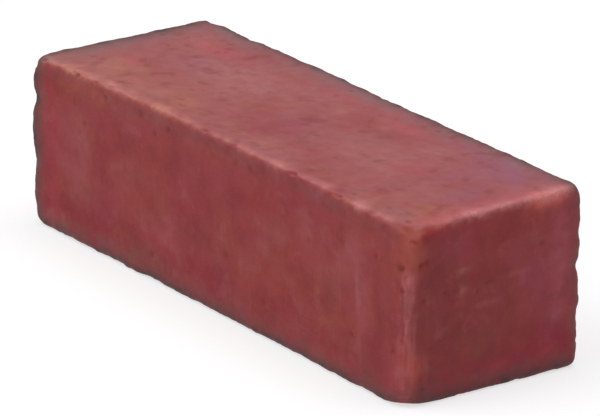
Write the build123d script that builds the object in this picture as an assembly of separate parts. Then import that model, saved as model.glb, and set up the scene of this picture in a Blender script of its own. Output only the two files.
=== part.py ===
from build123d import *
import math
import os

# A single cast block of polishing compound: wax-bound abrasive, poured hot
# into an open trough mould and knocked out when it has set.
# Millimetres. Origin at the centre of the bottom of the bounding box,
# +X along the bar's length, +Z up.

# Overall size, measured at the top face, where the block is widest
LENGTH = 141.0        # along X
WIDTH_LEFT = 50.6     # across Y at the -X end
WIDTH_RIGHT = 49.4    # across Y at the +X end
HEIGHT = 42.5         # along Z

# Mould draft: every side leans in towards the base by this angle
DRAFT_DEG = 0.4

# Edge radii
R_UPRIGHT = 2.4       # three of the upright edges
R_UPRIGHT_WORN = 3.4  # the upright edge at +X, -Y, rubbed rounder than the rest
R_TOP = 1.6           # round the top face
R_BASE = 1.5          # round the base

set_back = HEIGHT * math.tan(math.radians(DRAFT_DEG))


def outline(inset):
    """Plan outline of the block, a slightly tapering rectangle, set in on all sides."""
    x = LENGTH / 2 - inset
    y_left = WIDTH_LEFT / 2 - inset
    y_right = WIDTH_RIGHT / 2 - inset
    return Face(Wire.make_polygon(
        [(-x, -y_left, 0), (x, -y_right, 0), (x, y_right, 0), (-x, y_left, 0)],
        close=True))


# The drafted block, from its smaller base up to its full-size top
block = extrude(outline(set_back), amount=HEIGHT, dir=(0, 0, 1), taper=-DRAFT_DEG)

# Upright edges first: the +X, -Y one is the most worn
uprights = [e for e in block.edges()
            if abs((e @ 1).Z - (e @ 0).Z) > 0.5 * HEIGHT]
worn = max(uprights, key=lambda e: (e @ 0.5).X - (e @ 0.5).Y)
others = [e for e in uprights if e is not worn]
block = fillet(others, R_UPRIGHT)
uprights = [e for e in block.edges()
            if abs((e @ 1).Z - (e @ 0).Z) > 0.5 * HEIGHT
            and (e @ 0.5).X > LENGTH / 2 - 1.5 and (e @ 0.5).Y < -(WIDTH_RIGHT / 2 - 1.5)]
block = fillet(uprights, R_UPRIGHT_WORN)

# Then the rims of the top and of the base
top_rim = block.faces().sort_by(Axis.Z)[-1].edges()
block = fillet(top_rim, R_TOP)
base_rim = block.faces().sort_by(Axis.Z)[0].edges()
block = fillet(base_rim, R_BASE)

compound_bar = block.solid()
compound_bar.label = "compound_bar"

os.makedirs("parts", exist_ok=True)
export_step(compound_bar, "parts/compound_bar.step")

box = compound_bar.bounding_box()
print("size", box.size, "low", box.min, "high", box.max)
print("volume cm3", compound_bar.volume / 1000, "solids", len(block.solids()),
      "valid", compound_bar.is_valid)
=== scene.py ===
import math

import bpy
import numpy as np
from mathutils import Matrix, Vector


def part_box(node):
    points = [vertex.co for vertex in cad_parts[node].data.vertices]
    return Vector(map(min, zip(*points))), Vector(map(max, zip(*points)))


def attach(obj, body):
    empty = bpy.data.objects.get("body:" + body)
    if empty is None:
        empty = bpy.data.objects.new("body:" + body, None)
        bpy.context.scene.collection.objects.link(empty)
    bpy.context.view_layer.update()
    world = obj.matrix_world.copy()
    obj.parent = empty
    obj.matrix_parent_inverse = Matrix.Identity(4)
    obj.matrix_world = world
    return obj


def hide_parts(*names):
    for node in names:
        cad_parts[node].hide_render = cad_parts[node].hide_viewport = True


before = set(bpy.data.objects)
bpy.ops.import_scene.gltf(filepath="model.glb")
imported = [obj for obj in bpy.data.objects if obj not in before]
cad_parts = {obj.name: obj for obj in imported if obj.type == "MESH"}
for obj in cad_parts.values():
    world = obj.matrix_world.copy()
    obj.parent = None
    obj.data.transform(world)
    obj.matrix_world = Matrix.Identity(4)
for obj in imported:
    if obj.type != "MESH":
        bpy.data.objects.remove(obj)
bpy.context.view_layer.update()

lo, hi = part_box("compound_bar")

# ---------------------------------------------------------------- camera
# A long lens, a little above the bar, looking at its front-right upright edge.
cam_data = bpy.data.cameras.new("camera")
cam = bpy.data.objects.new("camera", cam_data)
bpy.context.scene.collection.objects.link(cam)
cam_data.sensor_fit = "HORIZONTAL"
cam_data.sensor_width = 36.0
cam_data.lens = 300.0
cam_data.clip_start, cam_data.clip_end = 0.05, 20.0
right = Vector((0.605759, 0.795034, 0.031267)).normalized()
up = Vector((-0.291828, 0.18545, 0.93832))
up = (up - right * up.dot(right)).normalized()
back = right.cross(up)
m = Matrix((right, up, back)).transposed().to_4x4()
m.translation = Vector((0.84635, -0.65968, 0.41397))
cam.matrix_world = m
bpy.context.scene.camera = cam

# ---------------------------------------------------------------- noise (all lengths below are in mm)
GRADS = np.array([[1, 1, 0], [-1, 1, 0], [1, -1, 0], [-1, -1, 0], [1, 0, 1], [-1, 0, 1], [1, 0, -1], [-1, 0, -1],
                  [0, 1, 1], [0, -1, 1], [0, 1, -1], [0, -1, -1], [1, 1, 0], [-1, 1, 0], [0, -1, 1], [0, -1, -1]], float)
U = np.uint64


def cell_hash(ix, iy, iz, seed):
    n = (ix * U(73856093)) ^ (iy * U(19349663)) ^ (iz * U(83492791)) ^ U(seed * 2654435761 & 0xFFFFFFFF)
    n &= U(0xFFFFFFFF)
    n = ((n ^ (n >> U(15))) * U(2246822519)) & U(0xFFFFFFFF)
    n = ((n ^ (n >> U(13))) * U(3266489917)) & U(0xFFFFFFFF)
    return n ^ (n >> U(16))


def perlin(p, scale, seed=0):
    """Gradient noise, about -1 to 1, with cells of the given size, one number or three."""
    q = p / np.asarray(scale, float) + 1000.0
    c = np.floor(q)
    f = q - c
    c = c.astype(np.uint64)
    s = f * f * f * (f * (f * 6 - 15) + 10)
    out = np.zeros(len(p))
    for dx in (0, 1):
        wx = s[:, 0] if dx else 1 - s[:, 0]
        for dy in (0, 1):
            wy = s[:, 1] if dy else 1 - s[:, 1]
            for dz in (0, 1):
                wz = s[:, 2] if dz else 1 - s[:, 2]
                h = cell_hash(c[:, 0] + U(dx), c[:, 1] + U(dy), c[:, 2] + U(dz), seed) & U(15)
                g = GRADS[h.astype(int)]
                out += wx * wy * wz * (g[:, 0] * (f[:, 0] - dx) + g[:, 1] * (f[:, 1] - dy) + g[:, 2] * (f[:, 2] - dz))
    return out * 1.25


def fbm(p, scale, seed=0, octaves=3, gain=0.5):
    scale = np.asarray(scale, float)
    out, a, total = 0, 1.0, 0
    for o in range(octaves):
        out = out + a * perlin(p, scale / 2.0 ** o, seed + 17 * o)
        total += a
        a *= gain
    return out / total


def smooth(x, a, b):
    t = np.clip((x - a) / (b - a), 0, 1)
    return t * t * (3 - 2 * t)


def bump1(x, at, width):
    return np.exp(-((x - at) / width) ** 2)


# ---------------------------------------------------------------- the bar's surface, as a lattice wrapped on a box
HX, HY, H = hi.x * 1000.0, hi.y * 1000.0 - 0.27, hi.z * 1000.0


def lattice_line(a, b, fine, coarse, zone0, zone1):
    """Positions from a to b, closer together near both ends."""
    x = np.linspace(a, b, 4001)
    d = np.minimum(x - a, b - x)
    step = fine + (coarse - fine) * smooth(d, zone0, zone1)
    n = np.concatenate([[0], np.cumsum(0.5 * (1 / step[1:] + 1 / step[:-1]) * np.diff(x))])
    return np.interp(np.linspace(0, n[-1], int(round(n[-1])) + 1), n, x)


def lattice(X, Y, Z):
    """Points on the surface of a box, and the quads between them, wound outwards."""
    shape = (len(X), len(Y), len(Z))
    on = np.zeros(shape, bool)
    on[0], on[-1], on[:, 0], on[:, -1], on[:, :, 0], on[:, :, -1] = (True,) * 6
    ijk = np.argwhere(on)
    idx = -np.ones(shape, np.int64)
    idx[tuple(ijk.T)] = np.arange(len(ijk))

    def quads(g, flip):
        q = np.stack([g[:-1, :-1], g[1:, :-1], g[1:, 1:], g[:-1, 1:]], -1).reshape(-1, 4)
        return q[:, ::-1] if flip else q

    Q = np.concatenate([
        quads(idx[:, :, -1], False), quads(idx[:, :, 0], True),
        quads(idx[:, 0, :], False), quads(idx[:, -1, :], True),
        quads(idx[-1, :, :], False), quads(idx[0, :, :], True)])
    return np.c_[X[ijk[:, 0]], Y[ijk[:, 1]], Z[ijk[:, 2]]], Q


FINE, COARSE = 0.36, 0.625
R0 = 4.0
X = lattice_line(-HX, HX, FINE, COARSE, 3.0, 9.0)
Y = lattice_line(-HY, HY, FINE, COARSE, 3.0, 9.0)
Z = lattice_line(0, H, FINE, COARSE, 3.0, 9.0)
P0, QUADS = lattice(X, Y, Z)
inner = np.clip(P0, np.array([-HX, -HY, 0]) + R0, np.array([HX, HY, H]) - R0)
ray = P0 - inner
ray /= np.linalg.norm(ray, axis=1)[:, None]
pb = inner + R0 * ray
x, y, z = pb.T
u, v, w = x / HX, y / HY, z / H * 2 - 1

# How far each sharp corner of this cast block stands off a true box, (x, y, z).
# l or r end, f front or b back, b base or t top.
OFF = {
    "lfb": (-0.17, 0.0, 0.0), "lft": (-0.28, -0.68, -0.50), "lbb": (0.0, 0.0, 0.0), "lbt": (0.28, 0.30, -0.10),
    "rfb": (-0.22, 0.48, 0.0), "rft": (0.25, -0.07, -0.59), "rbb": (0.45, 0.26, 0.0), "rbt": (-0.44, -0.34, 0.30),
}
# Edge radii: t or b for top or base rim, v for upright
RADII = dict(tf=1.35, tb=1.6, tr=1.4, tl=1.8, bf=1.8, bb=1.5, br=1.4, bl=1.6, vlf=2.3, vlb=2.1, vrf=3.8, vrb=2.2)


def blend4(c00, c01, c10, c11, a, b):
    a, b = np.clip(a, -1.1, 1.1) * 0.5 + 0.5, np.clip(b, -1.1, 1.1) * 0.5 + 0.5
    return (1 - a) * ((1 - b) * c00 + b * c01) + a * ((1 - b) * c10 + b * c11)


def corner(name, k):
    return OFF[name][k]


zt = H + blend4(corner("lft", 2), corner("lbt", 2), corner("rft", 2), corner("rbt", 2), u, v)
zb = np.zeros(len(pb))
yf = HY - blend4(corner("lfb", 1), corner("lft", 1), corner("rfb", 1), corner("rft", 1), u, w)
yb = HY + blend4(corner("lbb", 1), corner("lbt", 1), corner("rbb", 1), corner("rbt", 1), u, w)
xr = HX + blend4(corner("rfb", 0), corner("rft", 0), corner("rbb", 0), corner("rbt", 0), v, w)
xl = HX - blend4(corner("lfb", 0), corner("lft", 0), corner("lbb", 0), corner("lbt", 0), v, w)

# The top-front edge bows up and slightly in at mid-length; the base edge bows in.
dome = 1 - np.clip(np.abs(u), 0, 1) ** 2
front = np.clip(0.5 - 0.5 * v, 0, 1)
upper = np.clip(0.5 + 0.5 * w, 0, 1)
zt += 1.08 * dome * front ** 1.5
rear = np.clip(0.5 + 0.5 * v, 0, 1) ** 1.5
zt += rear * (0.34 * bump1(u, -0.42, 0.34) - 0.20 * bump1(u, 0.86, 0.16) - 0.34 * bump1(u, -0.74, 0.085) - 0.42 * bump1(u, -0.955, 0.04) + 0.28 * bump1(u, -0.865, 0.035) - 0.20 * bump1(u, 0.0, 0.05) - 0.18 * bump1(u, 0.38, 0.08))
zt -= 0.05 * bump1(u, -1.0, 0.10) - 0.32 * bump1(u, -1.0, 0.05) * smooth(v, 0.25, 0.75)
yf -= 0.37 * dome * upper ** 1.5
yf -= 0.73 * dome * (1 - upper) ** 1.5
yb -= 0.30 * bump1(u, -1.0, 0.09) * upper ** 2

# Distances to the twelve edges of the box
dx = {"l": x + HX, "r": HX - x}
dy = {"f": y + HY, "b": HY - y}
dz = {"b": z, "t": H - z}
EDGE = {}
for k in RADII:
    if k[0] == "v":
        EDGE[k] = np.hypot(dx[k[1]], dy[k[2]])
    elif k[1] in "fb":
        EDGE[k] = np.hypot(dz[k[0]], dy[k[1]])
    else:
        EDGE[k] = np.hypot(dz[k[0]], dx[k[1]])
edge_any = np.min(list(EDGE.values()), axis=0)

# Slow unevenness of each cast face, a sink in the middle, and more wander near the edges
near = np.exp(-(edge_any / 5.0) ** 2)
zt += 0.16 * fbm(pb, (26, 18, 30), 3) + 0.05 * fbm(pb, 6.0, 5) - 0.10 * (1 - u ** 2) * (1 - v ** 2) + near * (0.22 * fbm(pb, 6.5, 41) + 0.06 * fbm(pb, 2.2, 141))
yf += 0.14 * fbm(pb, (24, 20, 18), 7) + 0.05 * fbm(pb, 6.0, 9) + near * (0.18 * fbm(pb, 6.5, 43) + 0.07 * fbm(pb, 2.2, 143))
yb += 0.18 * fbm(pb, (24, 20, 18), 11) + 0.05 * fbm(pb, 6.0, 13) + near * (0.22 * fbm(pb, 6.5, 45) + 0.06 * fbm(pb, 2.2, 145))
xr += 0.16 * fbm(pb, (20, 18, 16), 15) + 0.05 * fbm(pb, 6.0, 17) + near * (0.22 * fbm(pb, 6.5, 47) + 0.10 * fbm(pb, 2.2, 147))
xl += 0.20 * fbm(pb, (20, 18, 16), 19) + 0.06 * fbm(pb, 6.0, 21) + near * (0.28 * fbm(pb, 6.5, 49) + 0.10 * fbm(pb, 2.2, 149))

# The rubbed front top edge wanders a little
wander = np.exp(-(EDGE["tf"] / 2.6) ** 2) * (0.26 * perlin(pb, 5.2, 201) + 0.16 * perlin(pb, 2.5, 202))
yf += wander
zt += 0.45 * wander

# Knocks and swellings along two of the upright edges: (height, size, half-length)
for at, size, width in ((40.2, 0.12, 1.5), (35.8, 0.20, 1.8), (31.5, -0.58, 1.6), (25.2, 0.36, 3.8), (20.6, 0.16, 1.6), (15.8, -0.24, 1.8), (9.4, 0.03, 2.4), (3.0, -0.44, 2.3)):
    b = size * bump1(z, at, width) * np.exp(-(EDGE["vlf"] / 4.0) ** 2)
    xl += b
    yf += b
for at, size, width in ((40.5, 0.14, 1.6), (34.5, 0.34, 3.2), (28.6, 0.14, 1.8), (23.7, -0.34, 1.7), (19.6, 0.40, 1.7), (15.6, 0.46, 1.8), (11.0, 0.22, 2.0), (7.2, 0.24, 3.0)):
    b = size * bump1(z, at, width) * np.exp(-(EDGE["vrb"] / 4.0) ** 2)
    xr += b
    yb += b

# Upright drag marks from the mould, beside the worn upright edge and fading away from it
drag_f = smooth(x, 40, 56) * smooth(z, 36, 22) * smooth(z, 2, 7)
drag_r = smooth(-y, -2, 20) * smooth(z, 38, 22)
slant = pb + np.c_[0.06 * z + 0.5 * fbm(pb, (9, 9, 12), 58), 0.05 * z + 0.5 * fbm(pb, (9, 9, 12), 59), 0 * z]
marks_f = sum(size * bump1(slant[:, 0], at, half) for at, size, half in ((47.5, -0.45, 1.0), (51.5, -0.6, 1.0), (55.0, 0.6, 1.4), (58.6, 0.4, 1.0), (62.6, -0.4, 1.2), (66.4, 0.4, 1.0), (69.0, 0.25, 0.9)))
streak_f = (0.75 * marks_f + 0.45 * perlin(slant, (2.9, 60, 22), 61) + 0.3 * perlin(slant, (1.5, 60, 14), 62)) * np.clip(0.8 + fbm(pb, (6, 9, 9), 65), 0, 1.3)
streak_r = (perlin(slant, (60, 2.6, 22), 63) + 0.6 * perlin(slant, (60, 1.4, 14), 64)) * np.clip(0.7 + fbm(pb, (9, 6, 11), 66), 0, 1.3)
streak_r = np.where(streak_r > 0, 0.25 * streak_r, streak_r)
yf += 0.05 * drag_f * streak_f
xr += 0.05 * drag_r * streak_r

# Edge radius everywhere, uneven along each edge
num, den = np.zeros(len(pb)), np.full(len(pb), 1e-9)
for k, r in RADII.items():
    wgt = np.exp(-(EDGE[k] / 3.5) ** 2)
    num += wgt * r
    den += wgt
RAD = num / den * np.clip(1 + 0.45 * fbm(pb, 7.0, 31) + 0.25 * fbm(pb, 2.6, 33), 0.45, 1.8)

# The upper corner over the worn upright edge is rubbed round
worn_at = np.linalg.norm(pb - np.array([HX, -HY, H]), axis=1)
RAD += (6.4 - RAD) * 0.90 * np.exp(-(worn_at / 8.0) ** 2)

# ---------------------------------------------------------------- chips and pits
rng = np.random.default_rng(628)
corner_wobble = fbm(pb, 3.0, 77)
wobble = np.c_[fbm(pb, 1.6, 71), fbm(pb, 1.6, 73), fbm(pb, 1.6, 75)] * 0.35


def on_edge(k, t):
    """A point on edge k, at t from -1 to 1 along it, and its outward direction."""
    if k[0] == "v":
        sx, sy = (-1, 1)[k[1] == "r"], (-1, 1)[k[2] == "b"]
        return np.array([sx * HX, sy * HY, H / 2 * (1 + t)]), np.array([sx, sy, 0]) / math.sqrt(2), 2
    sz = (-1, 1)[k[0] == "t"]
    zz = H if sz > 0 else 0.0
    if k[1] in "fb":
        sy = (-1, 1)[k[1] == "b"]
        return np.array([t * HX, sy * HY, zz]), np.array([0, sy, sz]) / math.sqrt(2), 0
    sx = (-1, 1)[k[1] == "r"]
    return np.array([sx * HX, t * HY, zz]), np.array([sx, 0, sz]) / math.sqrt(2), 1


bites = []  # (centre, radii)


def bite(k, t, length, depth, lean=0.0):
    """A chip on edge k: an ellipsoid that cuts depth mm into the rounded edge."""
    c, out, along = on_edge(k, t)
    r = RADII[k]
    if k == "tf":
        c = c + np.array([0, 0.37 * (1 - t * t), 1.08 * (1 - t * t) + blend4(-0.5, 0, -0.59, 0, t, -1)])
    surface = c - out * r * (math.sqrt(2) - 1)
    across = max(0.9, length * 0.42)
    side = np.array([0.0, 0.0, 0.0])
    side[along] = 1.0
    lean_dir = np.cross(out, side)
    centre = surface + out * (across - depth) + lean_dir * lean
    radii = np.full(3, across)
    radii[along] = length / 2
    bites.append((centre, radii))


# The larger chips that can be seen on the front top edge, then small ones on every edge
for t, length, depth in ((-0.575, 3.4, 0.30), (-0.05, 3.0, 0.20), (0.11, 2.6, 0.22), (0.42, 3.0, 0.22), (0.65, 3.6, 0.28), (0.80, 2.2, 0.24)):
    bite("tf", t, length, depth, rng.uniform(-0.5, 0.5))
for t, length, depth in ((0.62, 2.6, 0.45), (0.44, 2.0, 0.45), (0.15, 1.8, 0.30), (-0.25, 2.4, 0.25), (-0.70, 2.0, 0.30)):
    bite("vrf", t, length, depth, rng.uniform(-0.9, 0.9))
for k in RADII:
    along_len = {"v": H}.get(k[0], 2 * HX if k[1] in "fb" else 2 * HY)
    for _ in range(int(along_len / (16 if k in ("tf", "tr", "tb", "tl") else 8))):
        length = rng.uniform(1.0, 2.6)
        bite(k, rng.uniform(-0.95, 0.95), length, rng.uniform(0.08, 0.24) * length ** 0.5 * (0.6 if k in ("tf", "tb") else 0.5 if k == "bf" else 1), rng.uniform(-0.9, 0.9))

pits = []  # (centre, radius, depth) of round bubbles open at a face


def pit(face, a, b, r, depth):
    c = {"top": (a, b, H), "front": (a, -HY, b), "back": (a, HY, b), "right": (HX, a, b), "left": (-HX, a, b), "base": (a, b, 0.0)}[face]
    pits.append((face, np.array(c, float), r, depth))


for a, b, r in ((-20.1, -18.5, 1.2), (-23.5, -16.2, 0.9), (11.0, -20.4, 1.0), (-41.5, -20.6, 0.9), (14.2, -20.8, 0.8),
                (30.5, -20.5, 0.8), (47.0, -21.0, 0.9), (66.0, -21.2, 1.0), (62.5, -18.2, 0.8), (-6.5, -21.5, 0.8)):
    pit("top", a, b, r, 0.28)
for a, b, r in ((-51.2, 18.1, 1.1), (-44.4, 20.6, 1.0), (-60.7, -14.6, 1.1), (-38.0, 19.6, 0.8), (9.4, -20.0, 0.9), (24.5, 20.4, 0.9), (-8.0, 20.8, 0.8), (-66.0, 9.0, 0.9)):
    pit("top", a, b, r, 0.24)
for a, b, r in ((-22.6, 6.8, 1.2), (6.0, 15.9, 0.9), (-49.0, 31.0, 0.8), (36.0, 29.0, 0.9), (52.0, 12.0, 0.9), (20.0, 9.0, 0.8), (60.0, 33.0, 0.8)):
    pit("front", a, b, r, 0.25)
for a, b, r in ((-36.9, 40.0, 1.3), (9.2, 38.8, 1.1), (14.6, 39.2, 1.2), (19.1, 40.2, 1.2), (-26.7, 39.8, 1.2)):
    pit("front", a, b, r, 0.15)
for a, b, r in ((-14.0, 25.4, 0.9), (-10.9, 25.5, 0.9), (-4.6, 23.9, 0.8), (-1.9, 25.3, 0.7), (13.1, 31.5, 0.8), (-19.5, 33.7, 0.9), (-19.8, 38.9, 0.9)):
    pit("right", a, b, r, 0.25)
for face, a, b, r, depth in (("front", 68.4, 32.6, 0.9, 0.45), ("front", 68.6, 27.4, 0.7, 0.35), ("right", -20.8, 33.2, 0.9, 0.40), ("right", -22.2, 38.4, 0.8, 0.30),
                             ("front", 66.8, 13.0, 0.8, 0.25), ("right", -19.6, 24.8, 0.8, 0.25), ("front", -41.0, 39.6, 0.9, 0.35), ("front", -16.5, 39.2, 0.8, 0.3)):
    pit(face, a, b, r, depth)
for face, na, nb, count in (("top", HX, HY, 5), ("front", HX, H / 2, 4), ("back", HX, H / 2, 12), ("right", HY, H / 2, 3), ("left", HY, H / 2, 5), ("base", HX, HY, 22)):
    for _ in range(count):
        a = rng.uniform(-0.93, 0.93) * na
        b = rng.uniform(-0.9, 0.9) * nb + (0 if face in ("top", "base") else H / 2)
        r = rng.uniform(0.6, 1.2)
        pit(face, a, b, r, rng.uniform(0.05, 0.22))


# Corners are rubbed off further than the edges: (corner, mm cut back from the sharp corner, mm of softness)
CORNERS = []  # (corner, direction, depth, softness, points near it)
for name, depth, soft in (("lft", 2.3, 1.6), ("lfb", 2.2, 1.2), ("rfb", 3.2, 1.6), ("rbt", 1.6, 1.2), ("rbb", 1.2, 1.0), ("lbt", 1.3, 1.1), ("rft", 2.7, 3.0), ("lbb", 1.6, 1.2)):
    c = np.array([HX * (-1, 1)[name[0] == "r"], HY * (-1, 1)[name[1] == "b"], H * (name[2] == "t")])
    n = np.array([(-1, 1)[name[0] == "r"], (-1, 1)[name[1] == "b"], (-1, 1)[name[2] == "t"]]) / math.sqrt(3)
    CORNERS.append((c + np.array(OFF[name]), n, depth, soft, np.nonzero(np.linalg.norm(pb - c, axis=1) < 14)[0]))


def soft_max(a, b, k):
    h = np.clip(0.5 + 0.5 * (a - b) / k, 0, 1)
    return b + (a - b) * h + k * h * (1 - h)


# For each chip, the lattice points that it could reach
bite_near = []
for c, radii in bites:
    sel = np.nonzero(np.all(np.abs(pb - c) < radii.max() + 3.5, axis=1))[0]
    bite_near.append(sel)


def block_distance(p):
    """About how far p is outside the rounded block, chips included."""
    ax = np.maximum(-p[:, 0] - xl, p[:, 0] - xr) + RAD
    ay = np.maximum(-p[:, 1] - yf, p[:, 1] - yb) + RAD
    az = np.maximum(zb - p[:, 2], p[:, 2] - zt) + RAD
    out = np.sqrt(np.maximum(ax, 0) ** 2 + np.maximum(ay, 0) ** 2 + np.maximum(az, 0) ** 2)
    F = out + np.minimum(np.maximum(np.maximum(ax, ay), az), 0) - RAD
    for c, n, depth, soft, sel in CORNERS:
        F[sel] = soft_max(F[sel], (p[sel] - c) @ n + depth + 0.30 * corner_wobble[sel], soft)
    return F, ax - RAD, ay - RAD, az - RAD


def with_chips(p, F):
    G = F.copy()
    for (c, radii), sel in zip(bites, bite_near):
        q = (p[sel] + wobble[sel] - c) / radii
        cut = (1 - np.linalg.norm(q, axis=1)) * radii.min()
        G[sel] = soft_max(G[sel], cut, 0.18)
    return G


t = np.zeros(len(pb))
for _ in range(10):
    t -= block_distance(pb + ray * t[:, None])[0]
smooth_block = pb + ray * t[:, None]
for _ in range(8):
    p = pb + ray * t[:, None]
    t -= 0.8 * with_chips(p, block_distance(p)[0])
co = pb + ray * t[:, None]
chip_depth = np.linalg.norm(co - smooth_block, axis=1)

# Which faces each point lies on, and how near the second one is
F, fx, fy, fz = block_distance(co)
second = np.sort(np.c_[fx, fy, fz], axis=1)[:, 1]
to_edge = np.maximum(-second, 0)  # mm to the nearest edge, measured across the face


def vertex_normals(co):
    a, b, c, d = (co[QUADS[:, i]] for i in range(4))
    n = np.cross(c - a, d - b)
    out = np.zeros_like(co)
    for i in range(4):
        for k in range(3):
            out[:, k] += np.bincount(QUADS[:, i], n[:, k], len(co))
    return out / np.maximum(np.linalg.norm(out, axis=1), 1e-12)[:, None]


nrm = vertex_normals(co)

# Pits and a fine uneven skin, along the surface's own direction
pit_depth = np.zeros(len(co))
for face, c, r, depth in pits:
    d = co + wobble * 0.6 - c
    keep = {"top": (0, 1), "base": (0, 1), "front": (0, 2), "back": (0, 2), "right": (1, 2), "left": (1, 2)}[face]
    away = {"top": 2, "base": 2, "front": 1, "back": 1, "right": 0, "left": 0}[face]
    side = {"top": 1, "base": -1, "front": -1, "back": 1, "right": 1, "left": -1}[face]
    q = np.hypot(d[:, keep[0]], d[:, keep[1]]) / r
    on = (np.abs(d[:, away]) < 3.0) & (nrm[:, away] * side > 0.5)
    pit_depth = np.maximum(pit_depth, np.where(on, depth * (1 - smooth(q, 0.25, 1.15)), 0))
skin = 0.062 * fbm(co, 4.5, 81, 3, 0.5) + (0.026 - 0.014 * smooth(nrm[:, 2], 0.5, 0.9)) * perlin(co, 1.3, 87)
worn_skin = 0.10 * fbm(co, 1.9, 91, 2) * np.exp(-(to_edge / 1.5) ** 2)
flat_base = smooth(nrm[:, 2], -0.97, -0.80)  # the base stays flat where it rests
co = co + nrm * ((skin + worn_skin) * flat_base - pit_depth * np.where(nrm[:, 2] < -0.9, 0.6, 1))[:, None]
co[:, 2] = np.maximum(co[:, 2], 0.0)
nrm = vertex_normals(co)

# ---------------------------------------------------------------- masks painted on the points
x, y, z = co.T
up_face = smooth(nrm[:, 2], 0.55, 0.92)


# Distances in from each of the six faces; on a face, the other two pairs say how far each edge is
D = {"l": x + xl, "r": xr - x, "f": y + yf, "k": yb - y, "b": z - zb, "t": zt - z}
D = {k: np.maximum(d, 0) for k, d in D.items()}


def rim(a, wb, b, wa):
    """1 on the edge between faces a and b; it reaches wb mm over face a, and wa mm over face b."""
    return np.exp(-(D[b] / wb) ** 2 - (D[a] / wa) ** 2)


def lumps(t, marks):
    """Swellings along an edge: (position, size, half-length)."""
    out = np.zeros(len(t))
    for at, size, half in marks:
        out += size * np.exp(-((t - at) / half) ** 2)
    return out


def spot(cx, cy, cz, r, seed, grow=(1, 1, 1)):
    q = (co - np.array([cx, cy, cz])) / (r * np.asarray(grow, float))
    d = np.linalg.norm(q, axis=1) + 0.40 * fbm(co, r * 0.6, seed, 3)
    return np.exp(-1.9 * np.maximum(d, 0) ** 2)


front_face = smooth(-nrm[:, 1], 0.55, 0.92)
end_face = smooth(nrm[:, 0], 0.55, 0.92)
side_face = 1 - up_face
broken = fbm(co, (4.2, 3.0, 3.0), 101, 3, 0.6)
fine_broken = fbm(co, 1.3, 107, 2)

# Edges rubbed pale, with a painted highlight on the same edges: the top-front edge in lumps, the top-right edge
# almost all along
tf_lumps = lumps(x, ((-66, 0.35, 2.5), (-61, 0.15, 2), (-56, 0.42, 2.4), (-49.5, 0.38, 2.2), (-41.5, 0.30, 2.6), (-34, 0.08, 3), (-20, 0.46, 3.4), (-11, 0.08, 3), (-3, -0.22, 3), (8, -0.25, 2.5),
                     (12, 0.1, 2), (23.5, 0.5, 3.2), (29.5, -0.25, 2), (40, 0.35, 2), (46, -0.45, 3), (52.5, 0.62, 2.6), (56.5, -0.35, 1.2), (61, 0.35, 2.5), (-62, -0.1, 2)))
tr_lumps = lumps(y, ((-6, 0.38, 2.6), (-12, -0.12, 4), (3, 0.12, 3), (6.5, -0.1, 2), (16, 0.42, 4), (-20, -0.15, 3)))
crumbs = fbm(co, (1.5, 1.1, 1.1), 108, 2, 0.7)
blotch = fbm(co, (2.8, 2.2, 2.2), 100, 2, 0.5)
tf_over = np.clip(1.95 + 1.7 * tf_lumps + 1.5 * fbm(co, 3.4, 109) + 0.6 * smooth(x, -40, -50), 1.1, 3.6)
tf_down = np.clip(1.05 + 0.9 * fbm(co, 2.4, 110), 0.5, 1.7)
tr_over = np.clip(2.3 + 1.3 * tr_lumps + 1.2 * fbm(co, 3.4, 105), 1.3, 3.4)
tr_down = np.clip(1.10 + 0.8 * fbm(co, 2.4, 106) + 0.9 * bump1(y, 14.5, 4.5), 0.4, 2.0)
tf_in = 0.8 * smooth(x, -8, -30)
tf_worn_and_highlight = np.exp(-(np.maximum(D["f"] - tf_in, 0) / tf_over) ** 2 - (D["t"] / tf_down) ** 2) * np.clip(0.46 + 0.95 * tf_lumps + 0.25 * broken + 0.60 * blotch + 0.10 * fine_broken + 0.20 * crumbs, 0.08, 1.3)
tr_worn_and_highlight = rim("t", tr_over, "r", tr_down) * np.clip(0.83 + 1.1 * tr_lumps + 0.25 * broken + 0.50 * blotch + 0.15 * fine_broken + 0.25 * crumbs, 0.15, 1.6)
combed = perlin(co, (1.1, 1.1, 16), 104) + 0.8 * perlin(co, (0.7, 0.7, 11), 103)
# The near upright edge: a pale stripe of rubbed wear and painted highlight
upright_worn_and_highlight = np.exp(-(np.maximum(D["f"] - 1.5 - 0.4 * smooth(z, 29, 20), 0) / 1.35) ** 2 - (np.maximum(D["r"] - 1.0, 0) / 1.25) ** 2) * np.clip(0.88 + 0.70 * combed * smooth(z, 33, 26) + lumps(z, ((30, 0.5, 1.3), (26, 0.15, 3), (40, 0.4, 2.0))) + 0.35 * broken + 0.3 * fine_broken, 0.0, 1.2)
worn_corner = spot(HX - 1.0, -HY + 1.0, H - 1.0, 6.0, 113)
worn_wide = spot(HX - 2.0, -HY + 2.5, H, 8.4, 114, (1.1, 1.2, 0.8))
upright_worn_and_highlight = upright_worn_and_highlight * (1 - 0.75 * smooth(z, 30.0, 33.0)) * (1 - 0.50 * smooth(z, 17, 9))
rubbed = np.maximum.reduce([tf_worn_and_highlight, tr_worn_and_highlight, 0.35 * upright_worn_and_highlight]) * (1 - 0.78 * np.maximum(worn_corner, worn_wide))
rubbed += 0.45 * rim("t", 1.0, "l", 0.8) * np.clip(0.2 + 1.4 * broken, 0, 1)
rubbed = np.clip(rubbed, 0, 1.6)
pinker = np.clip(tr_worn_and_highlight + 0.8 * upright_worn_and_highlight + 0.7 * smooth(x, -14, 30), 0, 1)
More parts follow.
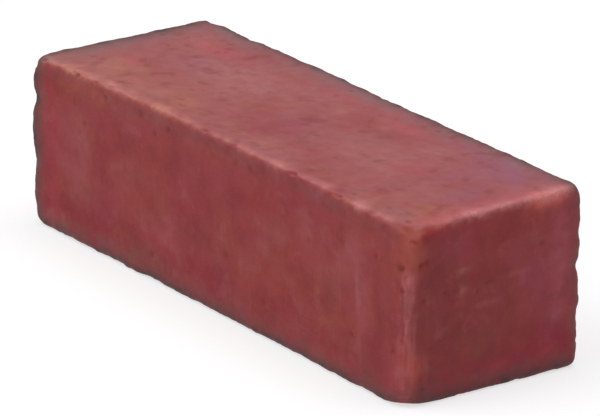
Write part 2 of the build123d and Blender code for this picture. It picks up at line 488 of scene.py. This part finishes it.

# Dark rims of painted shade: a grey-brown band, a grey band on the top by the back and left rims, and, right on the
# edge, a darker painted shade
uneven = np.clip(0.95 + 0.6 * fbm(co, 4.5, 111) + 0.5 * fbm(co, 1.6, 112), 0.40, 1.25)
haze = np.clip(np.maximum(0.95 * rim("t", 6.0, "k", 3.0), 0.85 * rim("t", 9.0, "l", 3.0)) * np.clip(0.88 + 1.5 * fbm(co, (5.5, 4.5, 4.0), 115, 2), 0.15, 1.35), 0, 1) * up_face
veil = np.maximum.reduce([0.72 * rim("t", 3.4, "k", 2.0), 0.95 * rim("t", 5.5, "l", 2.5), 1.15 * rim("f", 4.0, "l", 2.8), 0.75 * rim("f", 4.0, "b", 2.0),
                          0.65 * rim("r", 4.0, "b", 2.0), 0.80 * rim("r", 3.0, "k", 3.0), 0.6 * rim("l", 3.0, "b", 2.0), 0.6 * rim("k", 3.0, "b", 2.0), 0.5 * rim("k", 2.5, "l", 2.5)])
grime = np.maximum.reduce([0.95 * rim("t", 2.3, "k", 1.9), 0.95 * rim("t", 2.6, "l", 2.0), 1.10 * rim("f", 3.4, "l", 2.4), 1.00 * rim("f", 2.2, "b", 1.8),
                           1.00 * rim("r", 2.4, "b", 1.8), 0.55 * rim("r", 1.2, "k", 1.8), 0.95 * rim("l", 2.0, "b", 1.6), 0.95 * rim("k", 2.0, "b", 1.6), 0.80 * rim("k", 1.8, "l", 1.8)])
veil = np.clip(np.maximum(veil, 0.22 * bump1(D["t"], 2.6, 2.2) * front_face) * uneven, 0, 1)
grime = np.clip(grime * uneven, 0, 1)
# The painted shade sits on the upper side of these rims, and thins out over the back and the left end
lee = np.maximum(smooth(nrm[:, 1], 0.80, 0.98), smooth(-nrm[:, 0], 0.74, 0.97))
veil = veil * (1 - 0.45 * lee)
grime = grime * (1 - 0.65 * lee)

# Patches of slightly different cast colour at listed places, and a slow random drift of the same kinds
ember = (0.34 * spot(HX - 0.8, -HY + 1.2, 35.6, 5.2, 121, (0.9, 1.0, 1.1)) + 0.55 * spot(HX, -HY + 3.0, 9.5, 4.6, 123, (0.9, 1.0, 1.1)) + 1.3 * spot(HX, 14.5, H - 1.4, 4, 133, (1, 1.9, 0.6))
         + 0.35 * spot(HX - 1, -15, H - 1.3, 4, 132, (1, 1.6, 0.5)) + 0.35 * spot(-47, -HY, 39.4, 4, 102, (3.0, 1, 0.5)) + 0.14 * worn_corner)
ochre = (0.45 * worn_corner + 0.55 * spot(HX - 1.0, -HY + 1.4, 33.4, 4.4, 152, (0.9, 1.0, 1.1)) + 0.45 * spot(HX - 0.5, -HY + 2.2, 9.0, 4.0, 155, (0.9, 1.0, 1.1))
         + 0.50 * bump1(D["f"], 0.5, 2.5) * bump1(D["t"], 0.0, 1.5) * smooth(x, 5, -20) + 0.8 * spot(-21.5, -17, H, 4, 128, (1.3, 0.8, 1)) + 0.5 * spot(-10, 0, H, 8, 135, (1.0, 1.1, 1)) + 0.3 * spot(-40, -18, H, 5, 104, (2.4, 0.8, 1))
         + 0.45 * spot(46, -HY, 8.0, 4, 129, (2.2, 1, 0.5)) + 1.2 * spot(64.5, -13, H, 6.0, 131, (0.8, 1.2, 1))
         + 0.60 * spot(-45, -HY, 38.5, 6, 136, (3.0, 1, 0.5)) + 0.35 * spot(-2, -HY, 38.5, 5, 138, (2.4, 1, 0.5))
         + 0.45 * spot(-36, -HY, 8, 4, 139, (1.4, 1, 0.6)) + 0.4 * spot(-30, HY, 22, 9, 137) + 0.4 * spot(-HX, 8, 12, 7, 140) + 0.4 * spot(25, HY, 33, 8, 141)
         + 0.55 * bump1(D["f"], 6.0, 3.0) * up_face * np.clip(0.7 + 1.2 * fbm(co, (7, 3, 3), 119, 2), 0, 1)
         + 0.35 * np.clip(fbm(co, (9, 7, 7), 142, 3) - 0.12, 0, 1))
olive = (1.1 * spot(-27, -HY, 5.8, 5.0, 143, (1.6, 1, 0.7)) + 0.8 * bump1(D["b"], 3.4, 2.0) * front_face * smooth(x, -68, -60) * smooth(x, -20, -30) * np.clip(0.45 + 1.5 * fbm(co, (3.5, 3, 2), 150, 3), 0, 1) + 0.7 * spot(60, -21, H, 4, 145, (1.4, 0.8, 1))
         + 0.5 * spot(HX, -4, 11, 5, 146, (1, 1.4, 0.8)) + 0.6 * spot(-64, -19, H, 5, 147, (0.7, 1.0, 1)) + 0.3 * np.clip(fbm(co, 7, 148, 3) - 0.15, 0, 1))
sand = 0.15 * spot(HX - 1.2, -HY + 1.6, 36.0, 5.0, 153, (0.9, 1.0, 1.1)) + 0.22 * spot(HX - 2.0, -HY + 2.4, H - 1.8, 3.0, 154) + up_face * (0.62 * spot(-53, -14, H, 8, 125, (1.3, 0.8, 1)) + 0.36 * spot(-40, -19, H, 8, 127, (2.0, 0.7, 1)) + 0.28 * spot(-25, -15, H, 7, 126, (1.3, 0.8, 1)) + 0.20 * spot(-36, -10, H, 9, 130, (1.3, 0.7, 1))
                  + 0.35 * spot(1, 11, H, 4, 134) + 0.30 * np.clip(fbm(co, (12, 8, 7), 122, 3) - 0.10, 0, 1))
crimson = (0.75 * smooth(z, 15, 7) * side_face * np.clip(0.60 + 1.1 * fbm(co, (9, 9, 6), 161), 0, 1)
           + 0.9 * spot(HX, -16, 39.5, 5, 168, (1, 1.3, 0.6)) + 1.0 * spot(HX, 14, 7.0, 4.4, 169, (1, 1.6, 0.6)) + 0.5 * spot(HX, 2, 5.5, 4, 162, (1, 2.5, 0.6))
           + 0.5 * side_face * np.clip(fbm(co, (10, 8, 7), 170, 3) - 0.06, 0, 1))
wine = (0.40 * bump1(x, -HX + 6.5, 2.6) * front_face * np.clip(0.90 + 0.7 * broken, 0.4, 1) + 1.1 * spot(3.5, -HY, 9.5, 4.4, 117, (1.3, 1, 0.8))
        + 0.85 * spot(47, -HY, 7.0, 4, 118, (2.6, 1, 0.6)) + 1.0 * spot(61, -HY, 8.5, 5.5, 119, (0.9, 1, 1.2)) + 0.4 * side_face * bump1(D["b"], 8, 4) * smooth(x, 10, -10) * np.clip(0.6 + fbm(co, (8, 5, 5), 101), 0, 1) + 0.5 * spot(-40, -HY, 9, 6, 120, (2.2, 1, 0.5))
        + 0.4 * bump1(y, 14.8, 1.3) * end_face * smooth(z, 12, 20))
carmine = (0.85 * bump1(x, -HX + 8.0, 3.2) * front_face * np.clip(0.85 + 0.7 * broken, 0.3, 1) + 0.7 * spot(HX - 4.5, -HY, 4.6, 4.0, 203, (1.2, 1, 0.9)) + 0.8 * spot(HX, 15.8, 6.2, 2.6, 204, (1, 1.2, 0.9))
           + 0.55 * spot(46, -HY, 5.0, 4.0, 205, (2.6, 1, 0.5)) + 0.4 * spot(HX, 3.0, 5.0, 3.0, 206, (1, 2.0, 0.6)) + 0.35 * spot(HX, -17.5, H - 3.0, 3.0, 207, (1, 1.2, 0.8)))
carmine = np.clip(carmine, 0, 1)
rose = (up_face * (0.95 * spot(-48, 12.5, H, 6.5, 163, (2.0, 0.55, 1)) + 0.9 * spot(20, 15.5, H, 5.5, 165, (1.2, 0.7, 1)) + 0.75 * spot(-53, -9, H, 3.6, 167, (1.2, 0.8, 1)) + 0.75 * spot(-6, 16, H, 5, 164, (1.4, 0.5, 1))
                   + 0.55 * spot(41, -1, H, 6, 166, (1.1, 1.0, 1)) + 0.5 * spot(10, 18, H, 4, 173) + 0.55 * smooth(np.abs(x - 67.2), 3.4, 1.4) * np.clip(0.7 + 0.6 * broken, 0, 1) + 0.4 * np.clip(fbm(co, (11, 7, 7), 172, 3) - 0.06, 0, 1))
        + 0.45 * spot(-62, -HY, 22, 5, 107, (0.8, 1, 1.5)) + 0.4 * spot(-20, -HY, 13, 7, 108, (1.3, 1, 0.8)) + 0.3 * spot(52, -HY, 33, 5, 111)
        # The near upright edge's pale stripe in this mask is rubbed wear plus a painted highlight
        + upright_worn_and_highlight * (1 - 0.6 * worn_corner) + 0.38 * spot(HX, -HY, 5.0, 3.4, 158, (1.5, 1.2, 1.0)) + 0.42 * spot(HX, 15.8, 5.9, 1.6, 160, (1, 1.2, 0.9)) + 0.25 * spot(HX, 3.0, 5.6, 1.8, 162, (1, 1.6, 0.8)))
violet = (up_face * (0.50 * rim("t", 5.5, "k", 3.0) + 1.0 * spot(47, 18, H, 9, 151, (1.6, 0.7, 1)) + 1.0 * spot(56, 14, H, 9, 152, (1.0, 0.9, 1)) + 0.7 * spot(60.5, -1, H, 6, 153, (0.9, 1.2, 1)) + 0.4 * spot(50, 6, H, 8, 150)
                     + 0.40 * spot(5, -4, H, 8, 154, (1.2, 1, 1)) + 0.5 * spot(-66, 2, H, 5, 149, (0.8, 1.6, 1)) + 0.4 * spot(-43, 3, H, 7, 124))
          + 0.3 * up_face * np.clip(fbm(co, (12, 9, 8), 160, 3) - 0.10, 0, 1))
lilac = np.clip(end_face * (0.52 * bump1(y, 19.0, 3.4) * smooth(z, 6, 16) * np.clip(0.75 + 0.8 * fbm(co, (6, 3, 5), 159), 0.1, 1.2) + 0.12 * spot(HX, 12.5, 22, 7, 102, (1, 0.8, 1.4)) + 0.5 * spot(HX, 17.5, 30, 5, 103, (1, 0.8, 1.2)) + 0.3 * spot(HX, 18.5, 19, 4, 104, (1, 0.8, 1.6)))
                + front_face * (0.15 * spot(52, -HY, 31, 6, 105, (0.7, 1, 1.3)) + 0.35 * spot(55.5, -HY, 18, 6, 106, (0.6, 1, 1.2)) + 0.15 * spot(-52, -HY, 21, 7, 109, (0.8, 1, 1.4)))
                + 0.5 * up_face * spot(66, 9, H, 5, 110, (0.8, 1.6, 1)), 0, 1.1)
mauve = (0.9 * spot(HX, 11, 24, 8, 155, (1, 0.7, 1.3)) + 0.7 * spot(HX, -11, 35, 6, 156, (1, 1.1, 0.8)) + 0.35 * spot(HX, 16, 14, 7, 116, (1, 0.7, 1.3)) + 0.5 * spot(HX, 6, 30, 6, 157)
         + 0.7 * side_face * np.clip(fbm(co, (12, 9, 8), 174, 3) - 0.06, 0, 1))
# Pale dusty bloom; on the top it is partly a painted sheen
bloom = up_face * np.clip(0.76 + 0.34 * fbm(co, (18, 16, 20), 171, 4, 0.5) + 0.56 * spot(-27, 3, H, 12, 192, (1.3, 0.9, 1)) + 0.2 * spot(-58, 12, H, 8, 115) + 0.2 * spot(35, 10, H, 8, 116) + 0.22 * spot(-43, 2, H, 9, 193)
                          - 0.14 * spot(1, -12, H, 13, 194, (1.3, 0.9, 1)) + 0.32 * spot(31, -2, H, 12, 175, (1.2, 0.9, 1)) - 0.22 * spot(-9, 0, H, 8, 176) - 0.25 * spot(64, -14, H, 6, 117)
                          - 0.14 * spot(46, 17, H, 8, 177) + 0.15 * spot(57, 14, H, 7, 195) - 0.20 * spot(44, -4, H, 8, 178) - 0.16 * spot(32, -17, H, 9, 197, (2.0, 0.7, 1)), 0, 1.1)
bloom += side_face * np.clip(-0.22 + 0.7 * fbm(co, (14, 14, 11), 179, 3, 0.5) + 0.78 * spot(-52, -HY, 20, 9, 180, (0.9, 1, 1.4)) + 0.25 * spot(-48, -HY, 28, 7, 198) + 0.55 * spot(35, -HY, 29, 8, 181, (1, 1, 1.3))
                             + 0.75 * spot(21, -HY, 26, 8, 183) + 0.2 * spot(-30, -HY, 26, 8, 199) + 0.5 * spot(-20, -HY, 13, 7, 112, (1.3, 1, 0.8)) + 0.40 * spot(52, -HY, 32, 7, 191, (0.9, 1, 1.2)) + 0.3 * spot(44, -HY, 20, 7, 100), 0, 1) * 0.5 * (1 - 0.35 * end_face)
shade = (1.0 * smooth(y, -8.5, -12.5) * smooth(y, -22.5, -20.0) * end_face * np.clip(0.85 + 0.6 * fbm(co, (3, 2.2, 9), 184), 0.3, 1.1) + 0.5 * spot(44, -HY, 20, 6, 185, (0.7, 1, 1.6))
         + 0.35 * spot(0, -HY, 27, 8, 186, (1.5, 1, 0.8)) + 0.45 * spot(-2, -HY, 17, 8, 187, (1.8, 1, 0.7)) + 0.65 * end_face * smooth(z, 34, 26) * smooth(y, 10, 2) + 1.6 * spot(60, -HY, 7.5, 6, 113, (0.9, 1, 1.2)) + 0.3 * spot(-50, -HY, 38, 6, 151) + 1.0 * spot(HX, 16.5, 10, 4.5, 114) + 1.1 * spot(HX, 9.0, 5.4, 3.0, 161, (1, 1.2, 0.9)) + 0.35 * spot(HX, 0, 10, 7, 115)
         + 1.0 * worn_wide * np.clip(2.2 * fbm(co, 2.0, 116, 2) + 0.05, 0, 1)
         + 0.5 * spot(3, -HY, 9, 6, 118) + 0.4 * spot(45, -HY, 8, 6, 119, (1.6, 1, 0.7)) + 1.3 * spot(HX, -16.5, 13, 7, 120, (1, 0.7, 1.6))
         + 0.75 * bump1(D["t"], 3.0, 1.7) * front_face * np.clip(0.25 + 1.8 * fbm(co, (3.0, 3, 2.0), 188, 2), 0, 1)
         + 0.85 * bump1(D["f"], 5.5, 2.6) * up_face * np.clip(0.38 + 1.7 * fbm(co, (3.4, 2.4, 3), 189, 2), 0, 1)
         + 0.7 * bump1(D["k"], 3.4, 1.4) * up_face * np.clip(0.1 + 1.6 * fbm(co, (3.0, 2.6, 3), 196), 0, 1)
         + (0.8 - 0.4 * up_face) * np.clip(fbm(co, (7, 7, 6), 190, 3) - 0.05, 0, 1))
ember, ochre, olive, sand, crimson, wine, rose, violet, mauve, bloom, shade = (np.clip(a, 0, 1.1) for a in (ember, ochre, olive, sand, crimson, wine, rose, violet, mauve, bloom, shade))
smudge = (spot(HX, -9.0, 29.6, 2.0, 191, (1, 1.2, 0.5)) + spot(HX, -2.0, 20.6, 2.4, 192, (1, 1.4, 0.4)) + 0.9 * spot(HX, -9.0, 25.0, 2.2, 193, (1, 1.0, 0.8))
          + 0.7 * spot(HX, 6.0, 26.0, 2.6, 194, (1, 1.6, 0.3)) + 0.5 * spot(40, -HY, 17, 3, 195, (0.5, 1, 2.4)) + 0.4 * spot(8, HY, 22, 6, 196)
          + 0.5 * spot(HX, -9.6, 22.0, 1.8, 195, (1, 1.0, 0.6)))
smudge = np.clip(smudge, 0, 1)
drag = drag_f * np.where(nrm[:, 1] < -0.6, 1, 0) * streak_f + drag_r * np.where(nrm[:, 0] > 0.6, 1, 0) * streak_r
drag = np.clip(0.5 + 0.5 * drag, 0, 1)
cavity = np.clip(pit_depth / 0.28, 0, 1)
chipped = np.clip(chip_depth / 0.35, 0, 1)

# ---------------------------------------------------------------- mesh
mesh = bpy.data.meshes.new("compound_bar_skin")
mesh.from_pydata((co / 1000.0).tolist(), [], QUADS.tolist())
mesh.validate()
mesh.update()
mesh.polygons.foreach_set("use_smooth", np.ones(len(mesh.polygons), bool))
for name, values in dict(carmine=carmine, rubbed=rubbed, pinker=pinker, veil=veil, grime=grime, ochre=ochre, olive=olive, sand=sand, wine=wine, rose=rose, lilac=lilac, mauve=mauve, haze=haze, ember=ember, bloom=bloom, violet=violet, crimson=crimson,
                         shade=shade, smudge=smudge, drag=drag, cavity=cavity, chipped=chipped).items():
    a = mesh.attributes.new(name, "FLOAT", "POINT")
    a.data.foreach_set("value", np.asarray(values, np.float32))
bar = bpy.data.objects.new("compound_bar_body", mesh)
bpy.context.scene.collection.objects.link(bar)

# ---------------------------------------------------------------- material
mat = bpy.data.materials.new("wax_bound_compound")
mat.use_nodes = True
nt = mat.node_tree
nt.nodes.clear()
out = nt.nodes.new("ShaderNodeOutputMaterial")
pri = nt.nodes.new("ShaderNodeBsdfPrincipled")
nt.links.new(pri.outputs[0], out.inputs[0])
coord = nt.nodes.new("ShaderNodeTexCoord")
mm = nt.nodes.new("ShaderNodeVectorMath")
mm.operation = "SCALE"
mm.inputs["Scale"].default_value = 1000.0
nt.links.new(coord.outputs["Object"], mm.inputs[0])
POS = mm.outputs[0]


def put(socket, value):
    if isinstance(value, bpy.types.NodeSocket):
        nt.links.new(value, socket)
    else:
        socket.default_value = value


def attr(name):
    n = nt.nodes.new("ShaderNodeAttribute")
    n.attribute_name = name
    return n.outputs["Fac"]


def maths(op, a, b=0.0, clamp=False):
    n = nt.nodes.new("ShaderNodeMath")
    n.operation = op
    n.use_clamp = clamp
    put(n.inputs[0], a)
    put(n.inputs[1], b)
    return n.outputs[0]


def noise(size, detail=3.0, rough=0.55, stretch=None, distort=0.0, at=None):
    """Noise with features about size mm across, 0 to 1."""
    src = POS
    if stretch:
        s = nt.nodes.new("ShaderNodeVectorMath")
        s.operation = "MULTIPLY"
        nt.links.new(POS, s.inputs[0])
        s.inputs[1].default_value = stretch
        src = s.outputs[0]
    if at:
        s = nt.nodes.new("ShaderNodeVectorMath")
        s.operation = "ADD"
        nt.links.new(src, s.inputs[0])
        s.inputs[1].default_value = at
        src = s.outputs[0]
    n = nt.nodes.new("ShaderNodeTexNoise")
    nt.links.new(src, n.inputs["Vector"])
    n.inputs["Scale"].default_value = 1.0 / size
    n.inputs["Detail"].default_value = detail
    n.inputs["Roughness"].default_value = rough
    n.inputs["Distortion"].default_value = distort
    return n.outputs["Fac"]


def ramp(value, a, b, to_a=0.0, to_b=1.0):
    n = nt.nodes.new("ShaderNodeMapRange")
    n.interpolation_type = "SMOOTHSTEP"
    n.clamp = True
    put(n.inputs["Value"], value)
    n.inputs["From Min"].default_value = a
    n.inputs["From Max"].default_value = b
    n.inputs["To Min"].default_value = to_a
    n.inputs["To Max"].default_value = to_b
    return n.outputs["Result"]


def mix(fac, a, b, mode="MIX"):
    n = nt.nodes.new("ShaderNodeMix")
    n.data_type = "RGBA"
    n.blend_type = mode
    n.clamp_factor = True
    put(n.inputs[0], fac)
    put(n.inputs[6], a)
    put(n.inputs[7], b)
    return n.outputs[2]


def rgb(r, g, b):
    return (r, g, b, 1.0)


BASE = rgb(0.262, 0.029, 0.035)
WARM = rgb(0.262, 0.037, 0.031)
DEEP = rgb(0.180, 0.024, 0.027)
RED = rgb(0.245, 0.017, 0.030)
WINE = rgb(0.205, 0.014, 0.020)
ROSE = rgb(0.450, 0.088, 0.105)
SAND = rgb(0.425, 0.168, 0.112)
EMBER = rgb(0.540, 0.096, 0.067)
LILAC = rgb(0.368, 0.083, 0.122)
MAUVE = rgb(0.262, 0.040, 0.070)
CARMINE = rgb(0.300, 0.022, 0.034)
TOP_RIM_SHADE_GREY = rgb(0.225, 0.138, 0.140)
RUST = rgb(0.330, 0.085, 0.040)
OLIVE = rgb(0.180, 0.070, 0.045)
PLUM = rgb(0.275, 0.090, 0.150)
DUST = rgb(0.415, 0.180, 0.180)
CHALK = rgb(0.660, 0.290, 0.235)
PINK = rgb(0.710, 0.285, 0.285)
RIM_SHADE_GREY = rgb(0.130, 0.085, 0.084)
EDGE_SHADE_DARK = rgb(0.055, 0.024, 0.024)
PIT = rgb(0.095, 0.021, 0.021)

broad = noise(30.0, 4.0, 0.6)
patch = noise(8.0, 5.0, 0.6, at=(31, 7, 3))
mottle = noise(3.0, 2.5, 0.5, at=(5, 17, 29))
cloud = noise(5.0, 3.0, 0.5, at=(13, 57, 9))
grain = noise(0.55, 3.0, 0.7, at=(11, 3, 2))
flecks = noise(0.30, 1.0, 0.5, at=(3, 41, 2))
col = mix(ramp(broad, 0.32, 0.68), BASE, WARM)
col = mix(ramp(patch, 0.45, 0.72, 0.0, 0.45), col, DEEP)
col = mix(maths("MULTIPLY", attr("shade"), ramp(mottle, 0.25, 0.7, 0.35, 0.75)), col, DEEP)
col = mix(maths("MULTIPLY", attr("crimson"), ramp(cloud, 0.25, 0.7, 0.45, 1.0)), col, RED)
col = mix(maths("MULTIPLY", attr("ochre"), ramp(mottle, 0.3, 0.7, 0.30, 0.85)), col, RUST)
col = mix(maths("MULTIPLY", attr("olive"), ramp(mottle, 0.3, 0.7, 0.25, 0.65)), col, OLIVE)
# Dusty bloom, on the top partly a painted sheen
col = mix(maths("MULTIPLY", attr("bloom"), ramp(mottle, 0.3, 0.72, 0.42, 0.56)), col, DUST)
col = mix(maths("MULTIPLY", attr("sand"), ramp(cloud, 0.3, 0.7, 0.45, 0.85)), col, SAND)
col = mix(maths("MULTIPLY", attr("rose"), ramp(cloud, 0.3, 0.7, 0.40, 0.70)), col, ROSE)
col = mix(maths("MULTIPLY", attr("ember"), ramp(mottle, 0.3, 0.7, 0.45, 0.80)), col, EMBER)
col = mix(maths("MULTIPLY", attr("wine"), ramp(cloud, 0.3, 0.7, 0.50, 0.90)), col, WINE)
col = mix(maths("MULTIPLY", attr("carmine"), ramp(cloud, 0.3, 0.7, 0.50, 0.90)), col, CARMINE)
col = mix(maths("MULTIPLY", attr("mauve"), ramp(cloud, 0.3, 0.7, 0.45, 0.85)), col, MAUVE)
col = mix(maths("MULTIPLY", attr("lilac"), ramp(cloud, 0.3, 0.7, 0.45, 0.80)), col, LILAC)
col = mix(maths("MULTIPLY", attr("violet"), ramp(cloud, 0.3, 0.7, 0.35, 0.70)), col, PLUM)
# Painted shade: the top greys along the back and left rims
col = mix(maths("MULTIPLY", attr("haze"), ramp(cloud, 0.3, 0.7, 0.40, 0.75)), col, TOP_RIM_SHADE_GREY)
col = mix(maths("MULTIPLY", attr("smudge"), ramp(mottle, 0.3, 0.7, 0.05, 0.22)), col, CHALK)
drag_mark = attr("drag")
col = mix(ramp(drag_mark, 0.55, 0.90, 0.0, 0.32), col, DUST)
col = mix(ramp(drag_mark, 0.45, 0.10, 0.0, 0.60), col, DEEP)
col = mix(ramp(cloud, 0.56, 0.74, 0.0, 0.10), col, DUST)
col = mix(ramp(cloud, 0.44, 0.28, 0.0, 0.32), col, DEEP)
# Pale edge colour: rubbed wear plus a painted highlight along the top-front, top-right and near upright edges
worn_highlight_mix = maths("MULTIPLY", attr("rubbed"), ramp(grain, 0.28, 0.62, 0.50, 0.80))
pale = mix(attr("pinker"), CHALK, PINK)
col = mix(maths("MULTIPLY", worn_highlight_mix, 0.62, clamp=True), col, pale)
# Painted rim shade: a grey-brown band, then darker painted shade right on the edges
col = mix(maths("MULTIPLY", attr("veil"), ramp(mottle, 0.25, 0.7, 0.45, 0.80)), col, RIM_SHADE_GREY)
col = mix(maths("MULTIPLY", attr("grime"), ramp(mottle, 0.25, 0.7, 0.55, 0.90)), col, EDGE_SHADE_DARK)
col = mix(maths("MULTIPLY", attr("cavity"), ramp(mottle, 0.3, 0.7, 0.15, 0.42)), col, PIT)
col = mix(maths("MULTIPLY", attr("chipped"), ramp(grain, 0.3, 0.7, 0.10, 0.34)), col, DEEP)
col = mix(ramp(grain, 0.60, 0.80, 0.0, 0.14), col, CHALK)
col = mix(ramp(grain, 0.42, 0.22, 0.0, 0.26), col, DEEP)
col = mix(ramp(flecks, 0.72, 0.80, 0.0, 0.30), col, DUST)
nt.links.new(col, pri.inputs["Base Color"])

# Fine scratches: thin lines at several slants, only here and there
scratch_a = ramp(noise(0.9, 1.0, 0.4, stretch=(0.06, 1.0, 1.6), at=(2, 2, 9)), 0.66, 0.72)
scratch_b = ramp(noise(0.9, 1.0, 0.4, stretch=(1.5, 1.3, 0.07), at=(8, 2, 1)), 0.67, 0.73)
scratch = maths("MULTIPLY", maths("MAXIMUM", scratch_a, scratch_b), ramp(broad, 0.45, 0.6))

rough = ramp(patch, 0.3, 0.7, 0.50, 0.66)
rough = maths("ADD", rough, maths("MULTIPLY", attr("rubbed"), 0.12))
rough = maths("ADD", rough, maths("MULTIPLY", attr("cavity"), 0.20))
rough = maths("ADD", rough, ramp(grain, 0.3, 0.7, -0.05, 0.07))
rough = maths("SUBTRACT", rough, maths("MULTIPLY", scratch, 0.10), clamp=True)
nt.links.new(rough, pri.inputs["Roughness"])

height = maths("ADD", maths("MULTIPLY", grain, 0.045), maths("MULTIPLY", mottle, 0.080))
height = maths("ADD", height, maths("MULTIPLY", flecks, 0.008))
height = maths("SUBTRACT", height, maths("MULTIPLY", scratch, 0.020))
height = maths("ADD", height, maths("MULTIPLY", maths("MULTIPLY", attr("rubbed"), grain), 0.05))
b = nt.nodes.new("ShaderNodeBump")
b.inputs["Strength"].default_value = 1.0
b.inputs["Distance"].default_value = 0.001
nt.links.new(height, b.inputs["Height"])
nt.links.new(b.outputs["Normal"], pri.inputs["Normal"])
pri.inputs["IOR"].default_value = 1.46
pri.inputs["Specular IOR Level"].default_value = 0.2

mesh.materials.append(mat)
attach(bar, "root")
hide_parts("compound_bar")

# ---------------------------------------------------------------- floor and light
fm = bpy.data.materials.new("pale_floor")
fm.use_nodes = True
fb = fm.node_tree.nodes["Principled BSDF"]
fb.inputs["Base Color"].default_value = (0.38, 0.38, 0.38, 1)
fb.inputs["Emission Color"].default_value = (1, 1, 1, 1)
fb.inputs["Emission Strength"].default_value = 0.63
fb.inputs["Roughness"].default_value = 0.9
fb.inputs["Specular IOR Level"].default_value = 0.1
floor_mesh = bpy.data.meshes.new("floor")
S = 6.0
floor_mesh.from_pydata([(-S, -S, 0), (S, -S, 0), (S, S, 0), (-S, S, 0)], [], [(0, 1, 2, 3)])
floor_mesh.materials.append(fm)
floor = bpy.data.objects.new("floor", floor_mesh)
bpy.context.scene.collection.objects.link(floor)

world = bpy.data.worlds.new("studio")
bpy.context.scene.world = world
world.use_nodes = True
world.node_tree.nodes["Background"].inputs["Color"].default_value = (1.0, 1.0, 1.0, 1)
world.node_tree.nodes["Background"].inputs["Strength"].default_value = 0.30


def area(name, where, aim, size, watts):
    d = bpy.data.lights.new(name, "AREA")
    d.shape = "SQUARE"
    d.size = size
    d.energy = watts
    o = bpy.data.objects.new(name, d)
    bpy.context.scene.collection.objects.link(o)
    o.location = where
    o.rotation_mode = "QUATERNION"
    o.rotation_quaternion = (Vector(aim) - Vector(where)).to_track_quat("-Z", "Y")
    return o


area("key", (-0.35, -0.75, 1.10), (0, 0, 0.02), 0.9, 9.8)
area("top", (0.16, 0.22, 1.28), (0, 0, 0.02), 1.0, 8.95)

bpy.context.scene.view_settings.view_transform = "Standard"
bpy.context.scene.view_settings.look = "None"
